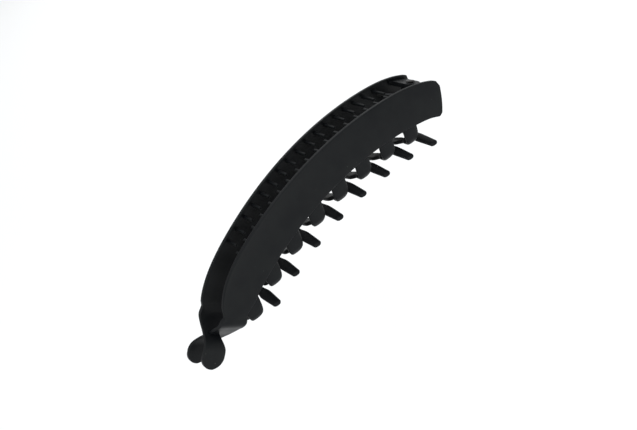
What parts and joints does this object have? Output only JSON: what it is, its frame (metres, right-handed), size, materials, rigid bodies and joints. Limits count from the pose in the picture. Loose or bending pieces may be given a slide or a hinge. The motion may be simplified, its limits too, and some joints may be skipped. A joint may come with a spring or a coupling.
{
  "type": "banana clip",
  "caption": "Long arched hair clip: two leaning bands with inner ribs and curved claws, hinged on a pin at one end and latched by crossing tabs at the other.",
  "frame": {"origin": "middle of the base of the shut clip's bounding box", "axes": "+X runs from the latch end to the hinge end, +Y towards the left arm, +Z towards the arched, ribbed side; the claws hang down"},
  "size_m": [0.1466, 0.0262, 0.038],
  "materials": {
    "black_plastic": "fine matte moulded surface",
    "spring_steel": "drawn wire, satin"
  },
  "bodies": {
    "left_arm": {"left_band": "black_plastic", "left_latch_tab": "black_plastic", "left_claw_1": "black_plastic", "left_claw_2": "black_plastic", "left_claw_3": "black_plastic", "left_claw_4": "black_plastic", "left_claw_5": "black_plastic", "left_claw_6": "black_plastic", "left_claw_7": "black_plastic", "left_claw_8": "black_plastic", "hinge_pin": "spring_steel", "spring_coil": "spring_steel", "left_spring_leg": "spring_steel"},
    "right_arm": {"right_band": "black_plastic", "right_latch_tab": "black_plastic", "right_claw_1": "black_plastic", "right_claw_2": "black_plastic", "right_claw_3": "black_plastic", "right_claw_4": "black_plastic", "right_claw_5": "black_plastic", "right_claw_6": "black_plastic", "right_claw_7": "black_plastic", "right_claw_8": "black_plastic", "right_spring_leg": "spring_steel"}
  },
  "joints": [
    {"name": "arm_hinge", "type": "hinge", "parent": "left_arm", "child": "right_arm", "pos_m": [0.0602, 0.00119, 0.00896], "axis": [0.5705, 0, 0.8213], "range_deg": [0, 25], "deforming": ["left_latch_tab", "right_latch_tab"]}
  ]
}
